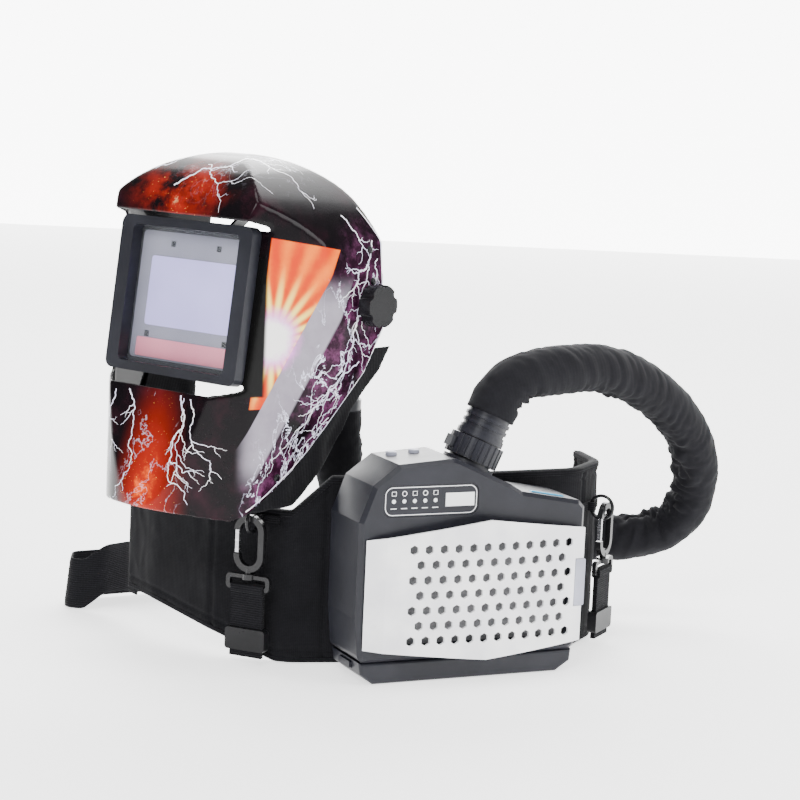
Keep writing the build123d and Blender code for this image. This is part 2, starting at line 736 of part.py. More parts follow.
BEHIND = inside(HELMET, (0, BAND_B + 1.6, 0), (1, 0, 0), (0, 1, 0))
with BuildPart() as headband:
    with BuildSketch(HELMET.offset(-12)):
        Ellipse(BAND_A + 1.3, BAND_B + 1.3)
        Ellipse(BAND_A - 1.3, BAND_B - 1.3, mode=Mode.SUBTRACT)
    extrude(amount=BAND_H)
    with BuildSketch(BEHIND.offset(-1.4)):
        RectangleRounded(34, 22, 5)
    extrude(amount=6.4)
    with BuildSketch(BEHIND.offset(-1.4)):
        Circle(3.05)
    extrude(amount=6.4, mode=Mode.SUBTRACT)
save(headband, "headband")

with BuildPart() as crown_strap:
    with BuildSketch(inside(HELMET, (0, 0, 0), (1, 0, 0), (0, -1, 0)).offset(-9)):
        with BuildLine():
            ThreePointArc((-BAND_A + 4.2, 12.2), (0, 76), (BAND_A - 4.2, 12.2))
            Line((BAND_A - 4.2, 12.2), (BAND_A - 1.8, 12.2))
            ThreePointArc((BAND_A - 1.8, 12.2), (0, 78.4), (-BAND_A + 1.8, 12.2))
            Line((-BAND_A + 1.8, 12.2), (-BAND_A + 4.2, 12.2))
        make_face()
    extrude(amount=18)
save(crown_strap, "crown_strap")

with BuildPart() as brow_pad:
    with BuildSketch(HELMET.offset(-11)):
        Ellipse(BAND_A - 1.6, BAND_B - 1.6)
        Ellipse(BAND_A - 6, BAND_B - 6, mode=Mode.SUBTRACT)
        with Locations((0, 60)):
            Rectangle(200, 200, mode=Mode.SUBTRACT)
    extrude(amount=22)
save(brow_pad, "brow_pad")

with BuildPart() as ratchet_knob:
    with BuildSketch(BEHIND.offset(5.3)):
        Circle(14)
        with PolarLocations(15, 12):
            Circle(1.8, mode=Mode.SUBTRACT)
    extrude(amount=9)
    with BuildSketch(BEHIND.offset(0.4)):
        Circle(3.0)
    extrude(amount=4.9)
save(ratchet_knob, "ratchet_knob")

# ---- fabric face seal under the rear edge of the shell ----
seal_outer = helmet_solid(SHELL + 0.5, 26)
seal_inner = helmet_solid(SHELL + 3.5, 60)
with BuildPart() as face_seal:
    add(seal_outer)
    add(seal_inner, mode=Mode.SUBTRACT)
    with BuildSketch(inside(HELMET, (150, 0, 0), (0, 1, 0), (1, 0, 0))):
        with BuildLine():
            Polyline(
                (-30, -40), (60, -40), (60, -182), (-118, -182), (-118, -174), close=True,
            )
        make_face()
    extrude(amount=-300, mode=Mode.INTERSECT)
save(face_seal, "face_seal")

# ---- fasteners ----
with BuildPart() as casing_screws:
    with BuildSketch(face_at(BACK_Y + 1.6)):
        with Locations((LEFT + 16, 40), (RIGHT - 16, 40), (LEFT + 16, 130), (RIGHT - 16, 130)):
            Circle(3)
    extrude(amount=1.6)
    with BuildSketch(face_at(BACK_Y)):
        with Locations((LEFT + 16, 40), (RIGHT - 16, 40), (LEFT + 16, 130), (RIGHT - 16, 130)):
            Circle(1.5)
    extrude(amount=14)
save(casing_screws, "casing_screws")
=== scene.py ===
"""Powered air respirator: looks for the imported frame. All lengths are in metres."""
import bpy
import bmesh
import json
import random
from math import cos, exp, pi, radians, sin
from mathutils import Matrix, Vector, noise
from mathutils.bvhtree import BVHTree


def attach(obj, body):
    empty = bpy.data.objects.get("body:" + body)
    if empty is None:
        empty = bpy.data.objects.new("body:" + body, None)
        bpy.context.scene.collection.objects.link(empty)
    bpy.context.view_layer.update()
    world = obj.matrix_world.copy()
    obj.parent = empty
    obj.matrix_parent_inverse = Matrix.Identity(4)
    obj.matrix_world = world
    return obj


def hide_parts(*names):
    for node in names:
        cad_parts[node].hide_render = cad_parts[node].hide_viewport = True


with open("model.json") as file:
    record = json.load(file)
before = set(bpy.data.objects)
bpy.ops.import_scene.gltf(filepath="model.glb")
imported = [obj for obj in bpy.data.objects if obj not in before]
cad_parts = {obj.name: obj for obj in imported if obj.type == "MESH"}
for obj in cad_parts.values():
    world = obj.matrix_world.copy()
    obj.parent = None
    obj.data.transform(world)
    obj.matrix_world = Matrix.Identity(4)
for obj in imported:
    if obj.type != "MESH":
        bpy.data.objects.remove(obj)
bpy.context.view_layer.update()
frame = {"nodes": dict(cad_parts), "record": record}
scene = bpy.context.scene
NODES = frame["nodes"]
ROOT, HELMET = "blower_and_belt", "helmet"

# ---- camera at the picture's viewing angle ----
CAMERA_AT = Vector((-0.9134, -1.8178, 0.5414))
AZIMUTH, ELEVATION, ROLL = radians(-24.73), radians(8.34), radians(2.61)
LENS_MM = 103.5


def add_camera():
    look = Vector((-sin(AZIMUTH) * cos(ELEVATION), cos(AZIMUTH) * cos(ELEVATION), -sin(ELEVATION)))
    right = Vector((cos(AZIMUTH), sin(AZIMUTH), 0))
    up = right.cross(look)
    side = right * cos(ROLL) + up * sin(ROLL)
    top = up * cos(ROLL) - right * sin(ROLL)
    data = bpy.data.cameras.new("camera")
    data.lens, data.sensor_width = LENS_MM, 36
    camera = bpy.data.objects.new("camera", data)
    turn = Matrix((side, top, -look)).transposed().to_4x4()
    camera.matrix_world = Matrix.Translation(CAMERA_AT) @ turn
    scene.collection.objects.link(camera)
    scene.camera = camera


add_camera()

# ---- helmet frame: X across towards the near side, -Y to the front, origin on the pivots ----
PIVOT = Vector((-0.144, 0.141, 0.328))
YAW = radians(-64)


def from_helmet(x, y, z):
    return PIVOT + Matrix.Rotation(YAW, 3, "Z") @ Vector((x, y, z))


# ---- shader helpers ----
class Wire:
    """A shader value that can be added, multiplied and compared."""

    def __init__(self, tree, socket):
        self.tree, self.socket = tree, socket

    def math(self, operation, *others):
        node = self.tree.nodes.new("ShaderNodeMath")
        node.operation = operation
        for place, value in enumerate((self, *others)):
            feed(self.tree, value, node.inputs[place])
        return Wire(self.tree, node.outputs[0])

    def __add__(self, other):
        return self.math("ADD", other)

    def __sub__(self, other):
        return self.math("SUBTRACT", other)

    def __mul__(self, other):
        return self.math("MULTIPLY", other)

    def __truediv__(self, other):
        return self.math("DIVIDE", other)

    def ramp(self, low, high):
        node = self.tree.nodes.new("ShaderNodeMapRange")
        node.interpolation_type = "SMOOTHSTEP"
        feed(self.tree, self, node.inputs["Value"])
        node.inputs["From Min"].default_value = low
        node.inputs["From Max"].default_value = high
        return Wire(self.tree, node.outputs["Result"])


def feed(tree, value, socket):
    if isinstance(value, Wire):
        tree.links.new(value.socket, socket)
    else:
        socket.default_value = value


def new_material(name, roughness=0.5, metallic=0.0, **shader):
    made = bpy.data.materials.new(name)
    made.use_nodes = True
    tree = made.node_tree
    surface = tree.nodes["Principled BSDF"]
    surface.inputs["Roughness"].default_value = roughness
    surface.inputs["Metallic"].default_value = metallic
    for socket, value in shader.items():
        surface.inputs[socket.replace("_", " ")].default_value = value
    return made, tree, surface


def place(tree):
    return Wire(tree, tree.nodes.new("ShaderNodeTexCoord").outputs["Object"])


def mapped(tree, where, location=(0, 0, 0), turn=0.0, scale=(1, 1, 1), kind="POINT"):
    node = tree.nodes.new("ShaderNodeMapping")
    node.vector_type = kind
    feed(tree, where, node.inputs["Vector"])
    node.inputs["Location"].default_value = location
    node.inputs["Rotation"].default_value = (0, 0, turn)
    node.inputs["Scale"].default_value = scale
    return Wire(tree, node.outputs["Vector"])


def grain(tree, where, scale, detail=3.0, rough=0.5, warp=0.0):
    node = tree.nodes.new("ShaderNodeTexNoise")
    feed(tree, where, node.inputs["Vector"])
    node.inputs["Scale"].default_value = scale
    node.inputs["Detail"].default_value = detail
    node.inputs["Roughness"].default_value = rough
    node.inputs["Distortion"].default_value = warp
    return Wire(tree, node.outputs["Fac"])


def stripes(tree, where, axis, pitch):
    """0 to 1 waves along one axis, one every pitch metres."""
    node = tree.nodes.new("ShaderNodeTexWave")
    node.bands_direction = axis
    feed(tree, where, node.inputs["Vector"])
    node.inputs["Scale"].default_value = 2 * pi / 20 / pitch
    return Wire(tree, node.outputs["Fac"])


def colour_mix(tree, amount, low, high):
    node = tree.nodes.new("ShaderNodeMix")
    node.data_type = "RGBA"
    feed(tree, amount, node.inputs[0])
    for index, value in ((6, low), (7, high)):
        if isinstance(value, Wire):
            tree.links.new(value.socket, node.inputs[index])
        else:
            node.inputs[index].default_value = (*value, 1)
    return Wire(tree, node.outputs[2])


def bump(tree, surface, height, strength, distance):
    node = tree.nodes.new("ShaderNodeBump")
    feed(tree, height, node.inputs["Height"])
    node.inputs["Strength"].default_value = strength
    node.inputs["Distance"].default_value = distance
    tree.links.new(node.outputs["Normal"], surface.inputs["Normal"])


def moulded(name, colour, roughness=0.45, pebble=900, depth=0.00012, strength=0.35, **shader):
    """Moulded plastic: fine pebble grain, faint cloudy wear in colour and gloss."""
    made, tree, surface = new_material(name, roughness, **shader)
    where = place(tree)
    cloud = grain(tree, where, 22, 4)
    worn = tuple(min(1, c * 1.35 + 0.003) for c in colour)
    tint = colour_mix(tree, cloud.ramp(0.35, 0.75), colour, worn)
    tree.links.new(tint.socket, surface.inputs["Base Color"])
    gloss = grain(tree, where, 60, 3) * 0.14 + (roughness - 0.07)
    tree.links.new(gloss.socket, surface.inputs["Roughness"])
    bump(tree, surface, grain(tree, where, pebble, 2), strength, depth)
    return made


def woven(name, colour, pitch=0.0011, depth=0.0003, lift=1.9, cloud_scale=35, ribs="Z"):
    """Cloth: crossing threads in the row frame, lint and shade variation."""
    made, tree, surface = new_material(name, 0.9, Sheen_Weight=0.03, Sheen_Roughness=0.5, Specular_IOR_Level=0.12)
    where = place(tree)
    upright = stripes(tree, where, "Z", pitch)
    across = stripes(tree, mapped(tree, where, turn=radians(38)), "X", pitch * 1.25)
    threads = upright * 0.55 + across * 0.45
    if ribs == "wide":
        threads = upright * 0.85 + across * 0.15
    shade = grain(tree, where, cloud_scale, 5, 0.6)
    lint = grain(tree, where, 1400, 2)
    bright = tuple(min(1, c * lift + 0.002) for c in colour)
    amount = (threads * 0.45 + shade * 0.5 + lint * 0.25).ramp(0.35, 0.95)
    tint = colour_mix(tree, amount, colour, bright)
    tree.links.new(tint.socket, surface.inputs["Base Color"])
    bump(tree, surface, threads + lint * 0.4, 0.75, depth)
    return made


def metal(name, colour, roughness=0.3):
    made, tree, surface = new_material(name, roughness, 0.9)
    where = place(tree)
    scuffs = grain(tree, mapped(tree, where, scale=(1, 1, 6)), 160, 4)
    bright = tuple(min(1, c * 2.2 + 0.03) for c in colour)
    tint = colour_mix(tree, scuffs.ramp(0.5, 0.8), colour, bright)
    tree.links.new(tint.socket, surface.inputs["Base Color"])
    gloss = scuffs * 0.25 + (roughness - 0.1)
    tree.links.new(gloss.socket, surface.inputs["Roughness"])
    bump(tree, surface, scuffs, 0.15, 0.0001)
    return made


def glassy(name, colour, alpha=1.0, roughness=0.08):
    made, tree, surface = new_material(name, roughness, Specular_IOR_Level=0.25, Alpha=alpha)
    where = place(tree)
    haze = grain(tree, where, 14, 3)
    pale = tuple(min(1, c * 1.12 + 0.02) for c in colour)
    tint = colour_mix(tree, haze.ramp(0.3, 0.7), colour, pale)
    tree.links.new(tint.socket, surface.inputs["Base Color"])
    gloss = grain(tree, where, 90, 2) * 0.08 + roughness
    tree.links.new(gloss.socket, surface.inputs["Roughness"])
    return made


def screen_mesh(name):
    """Fine woven steel screen behind the grille."""
    made, tree, surface = new_material(name, 0.45, 0.35)
    where = place(tree)
    weave = stripes(tree, where, "X", 0.0012) * stripes(tree, where, "Z", 0.0012)
    shade = grain(tree, where, 30, 3)
    tint = colour_mix(tree, (weave + shade * 0.5).ramp(0.1, 1.0), (0.10, 0.10, 0.105), (0.50, 0.50, 0.51))
    tree.links.new(tint.socket, surface.inputs["Base Color"])
    bump(tree, surface, weave, 0.8, 0.0003)
    return made


def helmet_paint():
    """Gloss film: ember glows on black, an orange flare panel on each side, and a pale diagonal band."""
    made, tree, surface = new_material(
        "helmet_paint", 0.16, Coat_Weight=0.03, Coat_Roughness=0.04, Specular_IOR_Level=0.10
    )
    where = place(tree)
    local = mapped(tree, where, tuple(PIVOT), YAW, kind="TEXTURE")
    split = tree.nodes.new("ShaderNodeSeparateXYZ")
    feed(tree, local, split.inputs[0])
    x, y, z = (Wire(tree, split.outputs[k]) for k in range(3))
    side = x.math("ABSOLUTE")
    cloud = grain(tree, local, 26, 6, 0.62)
    fine = grain(tree, local, 95, 5, 0.65)
    specks = grain(tree, local, 620, 1).ramp(0.72, 0.78)

    def spot(px, py, pz, radius, stretch=(1, 1, 1)):
        dx, dy, dz = (x - px) * stretch[0], (y - py) * stretch[1], (z - pz) * stretch[2]
        reach = (dx * dx + dy * dy + dz * dz).math("SQRT")
        return reach.ramp(radius, 0.0)

    veins = grain(tree, mapped(tree, local, scale=(1, 1, 0.55)), 30, 7, 0.6, 0.6) - 0.5
    filaments = veins.math("ABSOLUTE").ramp(0.014, 0.0)
    # black to deep wine over the whole shell
    colour = colour_mix(tree, cloud.ramp(0.45, 0.80), (0.003, 0.002, 0.003), (0.022, 0.005, 0.010))
    # ember glow on the brow and on the chin
    brow = spot(-0.010, -0.105, 0.094, 0.058, (0.75, 0.8, 1.4)) * cloud.ramp(0.36, 0.62)
    chin = spot(0.006, -0.155, -0.165, 0.088, (1.9, 0.6, 0.75)) * (cloud * 0.6 + 0.55)
    for glow in (brow, chin):
        colour = colour_mix(tree, glow, colour, (0.42, 0.018, 0.006))
        colour = colour_mix(tree, (glow * fine).ramp(0.34, 0.62), colour, (0.95, 0.13, 0.012))
    colour = colour_mix(tree, brow.ramp(0.62, 0.95), colour, (1.0, 0.75, 0.35))
    embers = specks * (brow + chin).ramp(0.05, 0.4)
    colour = colour_mix(tree, embers, colour, (1.0, 0.42, 0.08))
    # violet storm towards the rear of each side
    on_side = side.ramp(0.078, 0.088)
    rear = (y - z * 0.45).ramp(-0.070, -0.030) * on_side
    storm = colour_mix(tree, fine.ramp(0.40, 0.75), (0.020, 0.004, 0.014), (0.16, 0.045, 0.12))
    colour = colour_mix(tree, rear * cloud.ramp(0.3, 0.6) * z.ramp(0.085, 0.045), colour, storm)
    # pale diagonal band behind the panel
    diagonal = y - z * 0.54
    band = diagonal.ramp(-0.0605, -0.0595) * diagonal.ramp(-0.028, -0.031) * on_side
    band = band * z.ramp(0.030, -0.005) * z.ramp(-0.165, -0.130)
    silver = colour_mix(tree, cloud, (0.16, 0.13, 0.17), (0.42, 0.40, 0.46))
    colour = colour_mix(tree, band, colour, silver)
    # orange flare panel
    lid = z + y * 0.16
    panel = diagonal.ramp(-0.0595, -0.0605) * z.ramp(-0.0885, -0.0875) * lid.ramp(0.0442, 0.0432) * on_side
    panel = panel * (y - z * 0.104).ramp(-0.1092, -0.1082)
    ray_angle = (z + 0.028).math("ARCTAN2", y + 0.099)
    rays = (ray_angle * 23.0).math("SINE") * 0.5 + 0.5
    heat = (rays * 0.35 + cloud * 0.8).ramp(0.35, 0.95)
    flame = colour_mix(tree, heat, (0.62, 0.035, 0.003), (0.95, 0.20, 0.010))
    colour = colour_mix(tree, panel, colour, flame)
    flare_x = 0.092
    near = ((side - flare_x) * (side - flare_x) + (y + 0.099) * (y + 0.099) + (z + 0.028) * (z + 0.028)).math("SQRT")
    streak = (rays * 0.028 + near * -1.0 + 0.040) * 25.0
    colour = colour_mix(tree, streak.ramp(0.0, 1.0) * panel, colour, (1.0, 0.80, 0.18))
    wobble = near + (fine - 0.5) * 0.014
    colour = colour_mix(tree, wobble.ramp(0.033, 0.016) * on_side, colour, (0.85, 0.25, 0.80))
    colour = colour_mix(tree, wobble.ramp(0.024, 0.012) * on_side, colour, (1.0, 0.97, 0.95))
    # plain black ledges above and below the lens frame
    ledge = z.ramp(0.0745, 0.0725) * z.ramp(-0.0785, -0.0765) * y.ramp(-0.103, -0.107)
    colour = colour_mix(tree, ledge, colour, (0.004, 0.004, 0.004))
    # thin filaments of light, on the dark parts only
    dark = rear * z.ramp(0.06, 0.02) + chin.ramp(0.0, 0.3) * 0.4 + spot(0.02, -0.06, 0.12, 0.09) * 0.5
    colour = colour_mix(tree, (filaments * dark).ramp(0.0, 1.0), colour, (0.80, 0.80, 0.98))
    # the inside is plain black: there the surface faces the middle of the helmet
    facing = tree.nodes.new("ShaderNodeVectorMath")
    facing.operation = "DOT_PRODUCT"
    outward = tree.nodes.new("ShaderNodeVectorMath")
    outward.operation = "SUBTRACT"
    feed(tree, where, outward.inputs[0])
    outward.inputs[1].default_value = from_helmet(0, -0.02, -0.03)
    tree.links.new(outward.outputs[0], facing.inputs[0])
    tree.links.new(tree.nodes.new("ShaderNodeTexCoord").outputs["Normal"], facing.inputs[1])
    inner = Wire(tree, facing.outputs["Value"]).ramp(0.004, -0.004)
    colour = colour_mix(tree, inner, colour, (0.006, 0.006, 0.007))
    tree.links.new(colour.socket, surface.inputs["Base Color"])
    tree.links.new((fine * 0.08 + 0.12).socket, surface.inputs["Roughness"])
    bump(tree, surface, grain(tree, where, 500, 2), 0.05, 0.00005)
    return made


# White print of the lightning lines, plus a painted glow: the ink is given a faint light of its own
def lightning_print_painted_glow():
    made, tree, surface = new_material("lightning_print_painted_glow", 0.25, Coat_Weight=0.6)
    where = place(tree)
    tint = colour_mix(tree, grain(tree, where, 60, 3).ramp(0.3, 0.7), (0.72, 0.70, 0.92), (1.0, 1.0, 1.0))
    tree.links.new(tint.socket, surface.inputs["Base Color"])
    # painted glow: emission makes the printed lines shine though they are ink, not a lamp
    surface.inputs["Emission Color"].default_value = (0.85, 0.85, 1.0, 1)
    surface.inputs["Emission Strength"].default_value = 0.12
    bump(tree, surface, grain(tree, where, 400, 2), 0.05, 0.00005)
    return made


MATERIALS = {
    "casing_black": moulded("casing_black", (0.010, 0.0105, 0.015), 0.34, Specular_IOR_Level=0.28),
    "cover_white": moulded("cover_white", (0.80, 0.80, 0.83), 0.30, 1200, 0.00006, 0.2),
    "latch_grey": moulded("latch_grey", (0.32, 0.33, 0.40), 0.4),
    "lamp_clear": glassy("lamp_clear", (0.86, 0.88, 0.90)),
    "screen_steel": screen_mesh("screen_steel"),
    "filter_paper": woven("filter_paper", (0.62, 0.60, 0.56), lift=1.2),
    "motor_steel": metal("motor_steel", (0.4, 0.4, 0.42)),
    "circuit_board": moulded("circuit_board", (0.02, 0.16, 0.06), 0.35),
    "sleeve_fabric": woven("sleeve_fabric", (0.0055, 0.0055, 0.007), 0.0009, 0.0002, 2.0, 60),
    "pad_fabric": woven("pad_fabric", (0.0035, 0.0035, 0.0045), 0.0013, 0.0003, 2.0, 28),
    "webbing_black": woven("webbing_black", (0.0035, 0.0035, 0.0045), 0.0021, 0.0005, 2.2, 40, "wide"),
    "buckle_plastic": moulded("buckle_plastic", (0.006, 0.006, 0.007), 0.3, Specular_IOR_Level=0.2),
    "hook_metal": moulded("hook_metal", (0.008, 0.008, 0.009), 0.24, Specular_IOR_Level=0.3),
    "helmet_paint": helmet_paint(),
    "knob_plastic": moulded("knob_plastic", (0.004, 0.004, 0.005), 0.26, Specular_IOR_Level=0.2),
    "lens_clear": glassy("lens_clear", (0.80, 0.84, 1.0), 0.04, 0.03),
    "filter_body": glassy("filter_body", (0.20, 0.20, 0.26), 1.0, 0.14),
    "filter_glass": glassy("filter_glass", (0.47, 0.43, 0.84), 1.0, 0.10),
    "solar_glass": glassy("solar_glass", (0.66, 0.20, 0.28), 1.0, 0.12),
}
LIGHTNING = lightning_print_painted_glow()

for part in frame["record"]["subparts"]:
    mesh = NODES[part["node"]].data
    mesh.materials.clear()
    mesh.materials.append(MATERIALS[part["material_slot"]])


GATE_STEEL = metal("gate_steel", (0.42, 0.42, 0.44), 0.22)
for node in ("left_hook_gate", "right_hook_gate"):
    NODES[node].data.materials[0] = GATE_STEEL


def soften(node, width, segments=3, angle=32):
    """Rounds a CAD node's hard edges for the render."""
    rounded = NODES[node].modifiers.new("soft_edges", "BEVEL")
    rounded.width, rounded.segments, rounded.limit_method = width, segments, "ANGLE"
    rounded.angle_limit = radians(angle)
    rounded.harden_normals = False


SOFT_EDGES = {
    "front_housing": 0.0016, "rear_housing": 0.0016, "battery_pack": 0.0014, "filter_cover": 0.0005,
    "cover_latch": 0.0006, "lens_frame": 0.0018, "outlet_collar": 0.0005, "hose_lock_ring": 0.0005,
    "blower_hose_cuff": 0.0006, "helmet_hose_cuff": 0.0008, "duct_clamp": 0.0006, "air_duct": 0.001,
    "buckle_socket": 0.0018, "buckle_plug": 0.0015, "left_hook": 0.0012, "right_hook": 0.0012,
    "left_hook_gate": 0.0009, "right_hook_gate": 0.0009, "left_swivel_eye": 0.0009,
    "right_swivel_eye": 0.0009, "left_strap": 0.0006, "right_strap": 0.0006,
    "left_strap_slider": 0.0014, "right_strap_slider": 0.0014, "left_pivot_knob": 0.0012,
    "right_pivot_knob": 0.0012, "ratchet_knob": 0.0008, "headband": 0.0006, "pivot_arms": 0.001,
    "ring_tabs": 0.0006, "belt_plate": 0.001, "control_panel": 0.0003, "power_button": 0.0004,
    "flow_button": 0.0004,
}
for node, width in SOFT_EDGES.items():
    soften(node, width)


def link(name, mesh, material, body, smooth=True):
    piece = bpy.data.objects.new(name, mesh)
    scene.collection.objects.link(piece)
    mesh.materials.append(material)
    if smooth:
        for face in mesh.polygons:
            face.use_smooth = True
    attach(piece, body)
    return piece


def grid_mesh(name, rows, close_columns=True):
    """Mesh from rows of points; the columns close into a ring, the ends are capped with fans."""
    count = len(rows[0])
    points = [p for row in rows for p in row]
    faces = []
    span = count if close_columns else count - 1
    for r in range(len(rows) - 1):
        for c in range(span):
            a, b = r * count + c, r * count + (c + 1) % count
            faces.append((a, b, b + count, a + count))
    if close_columns:
        for r, flip in ((0, True), (len(rows) - 1, False)):
            centre = sum(rows[r], Vector()) / count
            points.append(centre)
            hub = len(points) - 1
            for c in range(count):
                a, b = r * count + c, r * count + (c + 1) % count
                faces.append((b, a, hub) if flip else (a, b, hub))
    mesh = bpy.data.meshes.new(name)
    mesh.from_pydata([tuple(p) for p in points], [], faces)
    mesh.validate()
    mesh.update()
    return mesh


def spline_points(points, resolution=24):
    """Points read along a smooth NURBS line through a route's control points."""
    curve = bpy.data.curves.new("route", "CURVE")
    curve.dimensions = "3D"
    curve.resolution_u = resolution
    spline = curve.splines.new("NURBS")
    spline.points.add(len(points) - 1)
    for control, point in zip(spline.points, points):
        control.co = (*point, 1)
    spline.order_u = 3
    spline.use_endpoint_u = True
    holder = bpy.data.objects.new("route", curve)
    mesh = bpy.data.meshes.new_from_object(holder)
    line = [v.co.copy() for v in mesh.vertices]
    bpy.data.objects.remove(holder)
    return line


def even(line, step):
    """The same line with points every step or so."""
    lengths = [0.0]
    for a, b in zip(line, line[1:]):
        lengths.append(lengths[-1] + (b - a).length)
    count = max(2, round(lengths[-1] / step))
    out, k = [], 0
    for i in range(count + 1):
        want = lengths[-1] * i / count
        while k < len(lengths) - 2 and lengths[k + 1] < want:
            k += 1
        span = lengths[k + 1] - lengths[k]
        t = 0 if span == 0 else (want - lengths[k]) / span
        out.append(line[k].lerp(line[k + 1], min(1, max(0, t))))
    return out, lengths[-1]


# ---- helmet shell: the CAD shell rounded, as one thick moulding ----
def rounded_copy(name, node, voxel, rounds, material, body):
    mesh = NODES[node].data.copy()
    mesh.name = name
    mesh.materials.clear()
    piece = bpy.data.objects.new(name, mesh)
    scene.collection.objects.link(piece)
    mesh.materials.append(material)
    remesh = piece.modifiers.new("remesh", "REMESH")
    remesh.mode, remesh.voxel_size = "VOXEL", voxel
    relax = piece.modifiers.new("relax", "SMOOTH")
    relax.iterations, relax.factor = rounds, 0.5
    ready = bpy.data.meshes.new_from_object(piece.evaluated_get(bpy.context.evaluated_depsgraph_get()))
    piece.modifiers.clear()
    piece.data = ready
    for face in ready.polygons:
        face.use_smooth = True
    return piece


VOXEL = 0.0014
shell = rounded_copy("shell", "helmet_shell", VOXEL, 16, MATERIALS["helmet_paint"], HELMET)
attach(shell, HELMET)
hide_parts("helmet_shell")
SHELL_TREE = BVHTree.FromObject(shell, bpy.context.evaluated_depsgraph_get())


# ---- lightning printed on the shell ----
def bolt_path(start, end, seed, rough=0.20, depth=6):
    """Midpoint-displaced line between two flat points."""
    dice = random.Random(seed)
    points = [Vector(start), Vector(end)]
    for level in range(depth):
        fresh = []
        for a, b in zip(points, points[1:]):
            step = b - a
            shift = dice.uniform(-rough, rough)
            fresh += [a, (a + b) / 2 + Vector((-step.y, step.x)) * shift]
        points = fresh + [points[-1]]
    return points


def project(view, u, v):
    """A flat point (u, v) of one view laid on the shell: (point, normal) or None."""
    if view == "side":
        origin, way = from_helmet(0.20, u, v), from_helmet(-1, 0, 0) - PIVOT
    elif view == "far":
        origin, way = from_helmet(-0.20, u, v), from_helmet(1, 0, 0) - PIVOT
    elif view == "top":
        origin, way = from_helmet(u, v, 0.25), from_helmet(0, 0, -1) - PIVOT
    else:
        origin, way = from_helmet(u, -0.30, v), from_helmet(0, 1, 0) - PIVOT
    hit, normal, _, _ = SHELL_TREE.ray_cast(origin, way)
    return (hit, normal) if hit else None


def lay_strip(mesh, view, line, width, taper=0.75):
    """A thin printed line on the shell along flat points of one view."""
    laid = [project(view, p[0], p[1]) for p in line]
    previous = None
    for i, (spot, after) in enumerate(zip(laid, laid[1:])):
        if spot is None or after is None or not 1e-6 < (after[0] - spot[0]).length < 0.02:
            previous = None
            continue
        across = (after[0] - spot[0]).cross(spot[1]).normalized()
        lift = spot[1] * 0.00012
        half = across * width * (1 - taper * i / len(laid)) / 2
        pair = [mesh.verts.new(spot[0] + lift + half), mesh.verts.new(spot[0] + lift - half)]
        if previous:
            mesh.faces.new((previous[0], previous[1], pair[1], pair[0]))
        previous = pair


def add_bolt(mesh, view, start, end, width, seed, branches=3):
    line = bolt_path(start, end, seed)
    lay_strip(mesh, view, line, width)
    dice = random.Random(seed + 99)
    for k in range(branches):
        at = line[int(len(line) * dice.uniform(0.15, 0.85))]
        reach = (Vector(end) - Vector(start)) * dice.uniform(0.18, 0.42)
        turn = dice.choice((-1, 1)) * dice.uniform(0.5, 1.1)
        tip = at + Vector((
            reach.x * cos(turn) - reach.y * sin(turn), reach.x * sin(turn) + reach.y * cos(turn)
        ))
        add_bolt(mesh, view, at, tip, width * 0.6, seed * 7 + k + 1, max(0, branches - 2))


BOLTS = [
    ("front", (-0.050, -0.084), (-0.056, -0.170), 0.0013, 3), ("front", (-0.034, -0.082), (-0.022, -0.172), 0.0015, 5),
    ("front", (0.030, -0.080), (0.050, -0.174), 0.0018, 8), ("front", (0.042, -0.082), (0.072, -0.150), 0.0013, 13),
    ("front", (0.034, -0.082), (0.030, -0.160), 0.0012, 17), ("front", (-0.066, -0.086), (-0.046, -0.160), 0.0011, 19),
    ("top", (-0.020, -0.112), (0.055, -0.040), 0.0022, 21), ("top", (0.030, -0.066), (0.092, -0.050), 0.0014, 26),
    ("top", (-0.056, -0.100), (0.000, -0.050), 0.0012, 29), ("top", (0.000, -0.090), (0.080, -0.090), 0.0012, 31),
    ("top", (0.020, -0.070), (0.060, 0.000), 0.0012, 33),
    ("side", (-0.020, 0.078), (0.004, 0.036), 0.0015, 34), ("side", (0.004, 0.036), (-0.040, 0.004), 0.0019, 37),
    ("side", (0.008, 0.016), (-0.046, -0.110), 0.0020, 41), ("side", (0.010, 0.056), (0.006, -0.040), 0.0015, 43),
    ("side", (-0.010, -0.050), (-0.100, -0.150), 0.0013, 47), ("side", (-0.014, 0.020), (-0.036, -0.060), 0.0012, 53),
    ("side", (0.016, 0.040), (0.004, -0.020), 0.0012, 59), ("side", (-0.034, -0.100), (-0.090, -0.160), 0.0011, 61),
    ("far", (-0.020, 0.078), (0.004, 0.036), 0.0015, 67), ("far", (0.008, 0.016), (-0.046, -0.110), 0.0020, 71),
    ("far", (0.010, 0.056), (0.006, -0.040), 0.0015, 73), ("far", (-0.010, -0.050), (-0.100, -0.150), 0.0013, 79),
]
# the light line printed along the rear and lower rim of each side, behind the pivot
RIM_LINE = [
    (0.006, 0.084), (0.0215, 0.056), (0.0215, -0.021), (-0.003, -0.061), (-0.0265, -0.096), (-0.046, -0.124),
    (-0.068, -0.1435), (-0.095, -0.164), (-0.120, -0.179),
]


def lightning():
    mesh = bmesh.new()
    for view, start, end, width, seed in BOLTS:
        add_bolt(mesh, view, start, end, width, seed)
    rim = [Vector((*p, 0)) for p in RIM_LINE]
    for view in ("side", "far"):
        lay_strip(mesh, view, even(rim, 0.003)[0], 0.0013, 0.0)
    data = bpy.data.meshes.new("lightning_print")
    mesh.to_mesh(data)
    mesh.free()
    piece = link("lightning_print", data, LIGHTNING, HELMET)


lightning()

